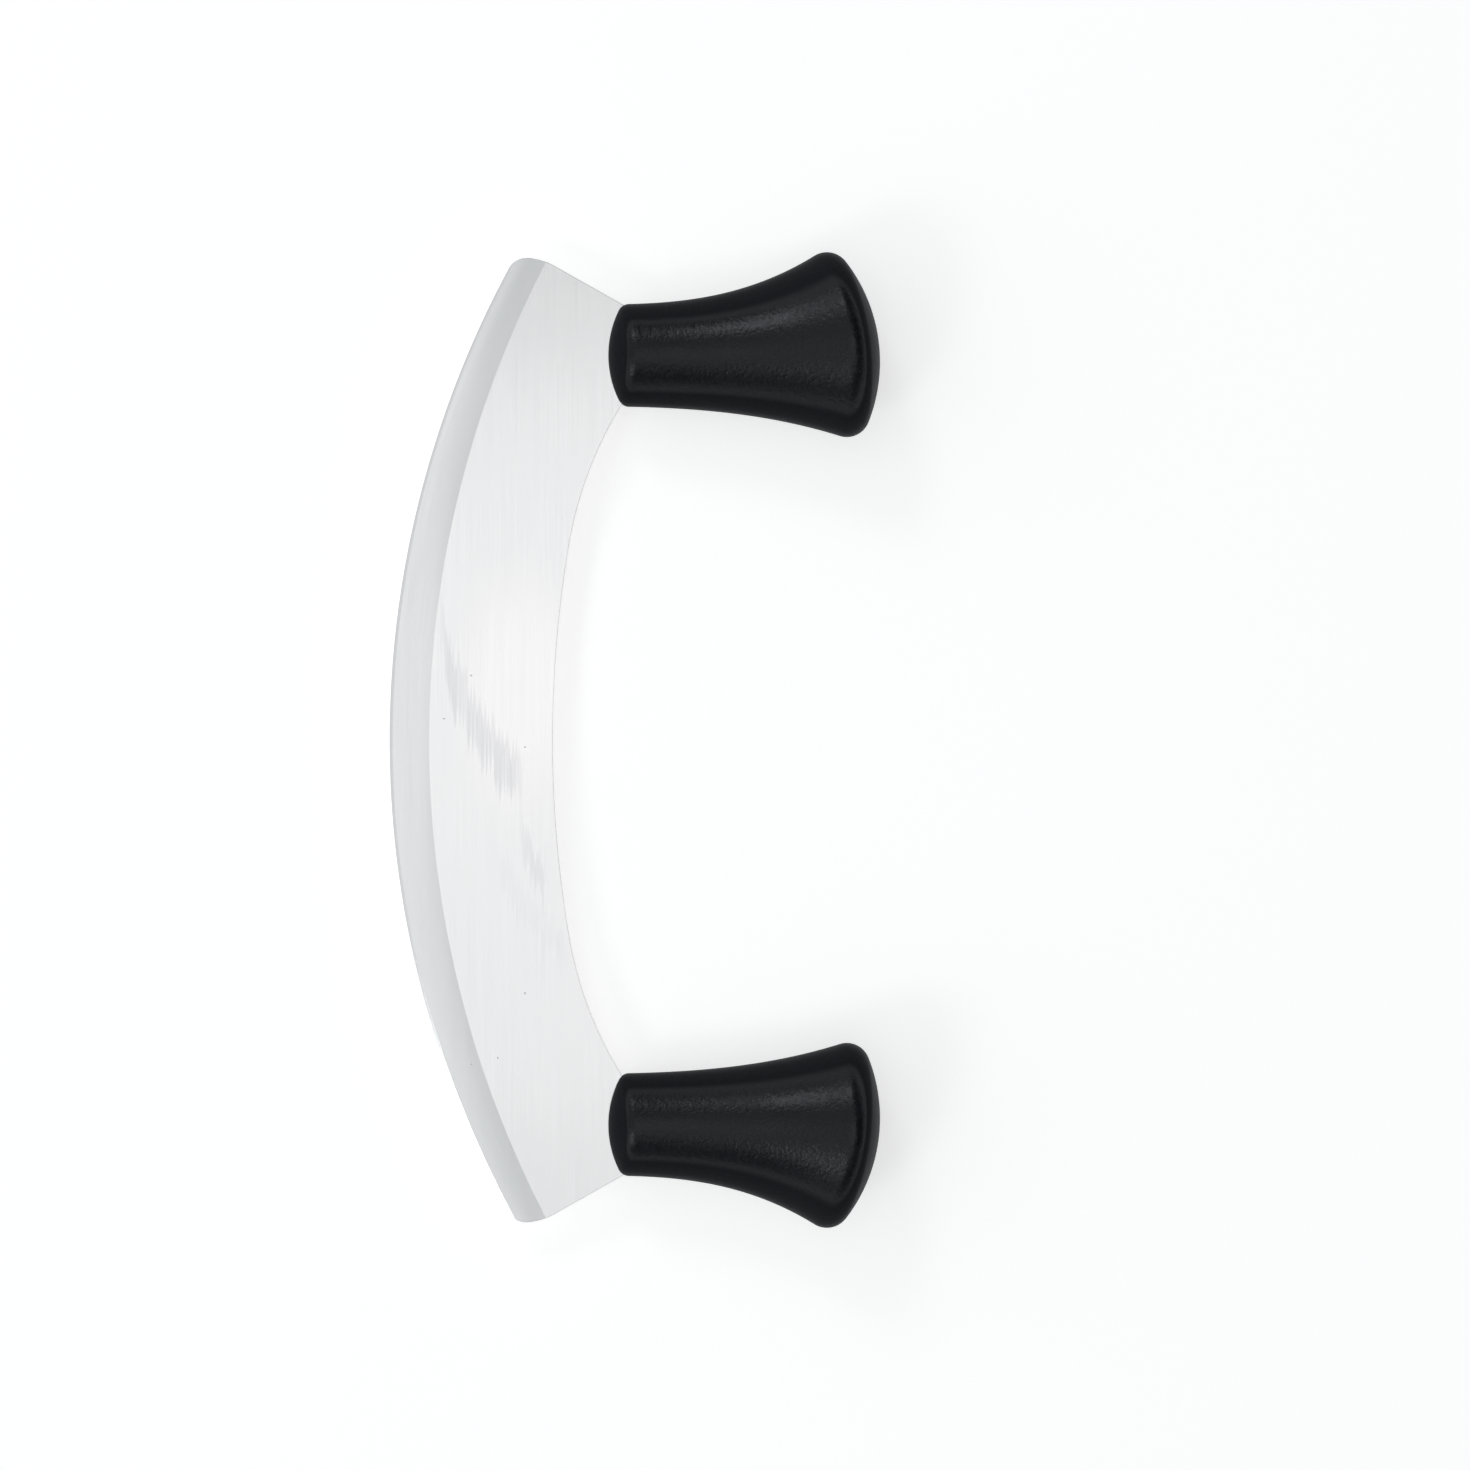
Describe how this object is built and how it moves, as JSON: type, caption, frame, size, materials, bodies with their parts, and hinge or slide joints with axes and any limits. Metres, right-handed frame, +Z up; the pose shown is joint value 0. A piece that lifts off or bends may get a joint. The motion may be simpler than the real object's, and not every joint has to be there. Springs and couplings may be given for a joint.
{
  "type": "mezzaluna",
  "caption": "Curved rocking blade with a hollow-ground cutting edge and concave back, and a flared black plastic handle on a tang at each end, for chopping herbs.",
  "frame": {"origin": "centre of the tool's bounding box on the surface it lies on", "axes": "the tool lies on its side, resting on the necks and butts of its handles: +X from the cutting edge towards the handles, +Y along the length, +Z up; the blade's flat leans 6.65 degrees about Y, rising towards the handles"},
  "size_m": [0.125, 0.2494, 0.0374],
  "materials": {
    "blade_steel": "satin",
    "grip_plastic": "matte",
    "core_plastic": "matte"
  },
  "bodies": {
    "root": {"blade": "blade_steel", "left_grip": "grip_plastic", "right_grip": "grip_plastic", "left_core": "core_plastic", "right_core": "core_plastic"}
  },
  "joints": []
}
